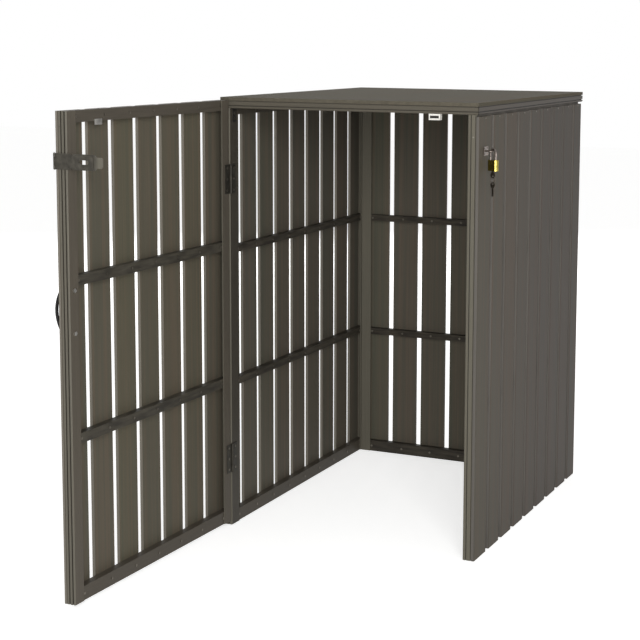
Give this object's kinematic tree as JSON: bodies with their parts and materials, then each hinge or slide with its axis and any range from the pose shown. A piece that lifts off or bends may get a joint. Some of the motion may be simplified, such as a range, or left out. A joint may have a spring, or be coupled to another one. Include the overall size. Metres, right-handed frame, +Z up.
{
  "type": "wheelie bin store",
  "caption": "Slatted bin shelter with three walls, a flat roof and one side-hung door with a bow handle, hasp, padlock and magnet catch.",
  "frame": {"origin": "on the ground, at mid width, under the middle of the rear wall's thickness", "axes": "+X to the right seen from the front, +Y from the open front to the rear wall, +Z up"},
  "size_m": [0.8372, 1.6545, 1.2],
  "materials": {
    "boards": "grey-brown composite boards with fine lengthwise texture",
    "roof_board": "plain grey-brown composite panel",
    "frame_profile": "grey-brown powder coat on extruded profiles",
    "dark_steel": "dark satin coating",
    "bright_steel": "plated steel",
    "zinc_steel": "zinc plated",
    "brass": "polished brass",
    "white_plastic": "white moulded plastic",
    "black_handle": "black satin"
  },
  "bodies": {
    "store": {"bracket_screws": "zinc_steel", "catch_magnet": "bright_steel", "front_fascia": "frame_profile", "hinge_pins": "dark_steel", "hinge_wall_leaves": "dark_steel", "hinge_wall_screws": "zinc_steel", "left_fascia": "frame_profile", "left_wall_boards": "boards", "left_wall_bottom_rail": "frame_profile", "left_wall_front_stile": "frame_profile", "left_wall_lower_rail": "frame_profile", "left_wall_rear_stile": "frame_profile", "left_wall_top_rail": "frame_profile", "left_wall_upper_rail": "frame_profile", "magnet_catch": "white_plastic", "outer_wall_screws": "zinc_steel", "rear_fascia": "frame_profile", "rear_wall_boards": "boards", "rear_wall_bottom_rail": "frame_profile", "rear_wall_left_stile": "frame_profile", "rear_wall_lower_rail": "frame_profile", "rear_wall_right_stile": "frame_profile", "rear_wall_top_rail": "frame_profile", "rear_wall_upper_rail": "frame_profile", "right_fascia": "frame_profile", "right_wall_boards": "boards", "right_wall_bottom_rail": "frame_profile", "right_wall_front_stile": "frame_profile", "right_wall_lower_rail": "frame_profile", "right_wall_rear_stile": "frame_profile", "right_wall_top_rail": "frame_profile", "right_wall_upper_rail": "frame_profile", "roof_brackets": "zinc_steel", "roof_panel": "roof_board", "staple_eye": "bright_steel", "staple_plate": "bright_steel", "staple_screws": "zinc_steel", "wall_board_screws": "zinc_steel"},
    "door": {"door_board_screws": "zinc_steel", "door_boards": "boards", "door_bottom_rail": "frame_profile", "door_free_stile": "frame_profile", "door_handle": "black_handle", "door_hinge_stile": "frame_profile", "door_lower_rail": "frame_profile", "door_top_rail": "frame_profile", "door_upper_rail": "frame_profile", "handle_bolts": "zinc_steel", "hasp_leaf": "dark_steel", "hasp_pin": "dark_steel", "hasp_screws": "zinc_steel", "hinge_door_leaves": "dark_steel", "hinge_door_screws": "zinc_steel", "strike_plate": "bright_steel"},
    "hasp": {"hasp_strap": "dark_steel"},
    "padlock": {"padlock_body": "brass", "padlock_shackle": "bright_steel", "lock_key": "bright_steel"},
    "keys": {"key_ring": "bright_steel", "spare_key": "bright_steel"}
  },
  "joints": [
    {"name": "door_swing", "type": "hinge", "parent": "store", "child": "door", "pos_m": [-0.343, -0.884, 0], "axis": [0, 0, 1], "range_deg": [-5, 91.6]},
    {"name": "hasp_swing", "type": "hinge", "parent": "door", "child": "hasp", "pos_m": [-0.40119, -1.60636, 1.076], "axis": [0, 0, -1], "range_deg": [0, 200]},
    {"name": "padlock_swing", "type": "hinge", "parent": "store", "child": "padlock", "pos_m": [0.40022, -0.84066, 1.076], "axis": [-0.4067, -0.9135, 0], "range_deg": [-3, 60]},
    {"name": "keys_swing", "type": "hinge", "parent": "padlock", "child": "keys", "pos_m": [0.40022, -0.84066, 1.0076], "axis": [0.9135, -0.4067, 0], "range_deg": [-45, 45]}
  ]
}
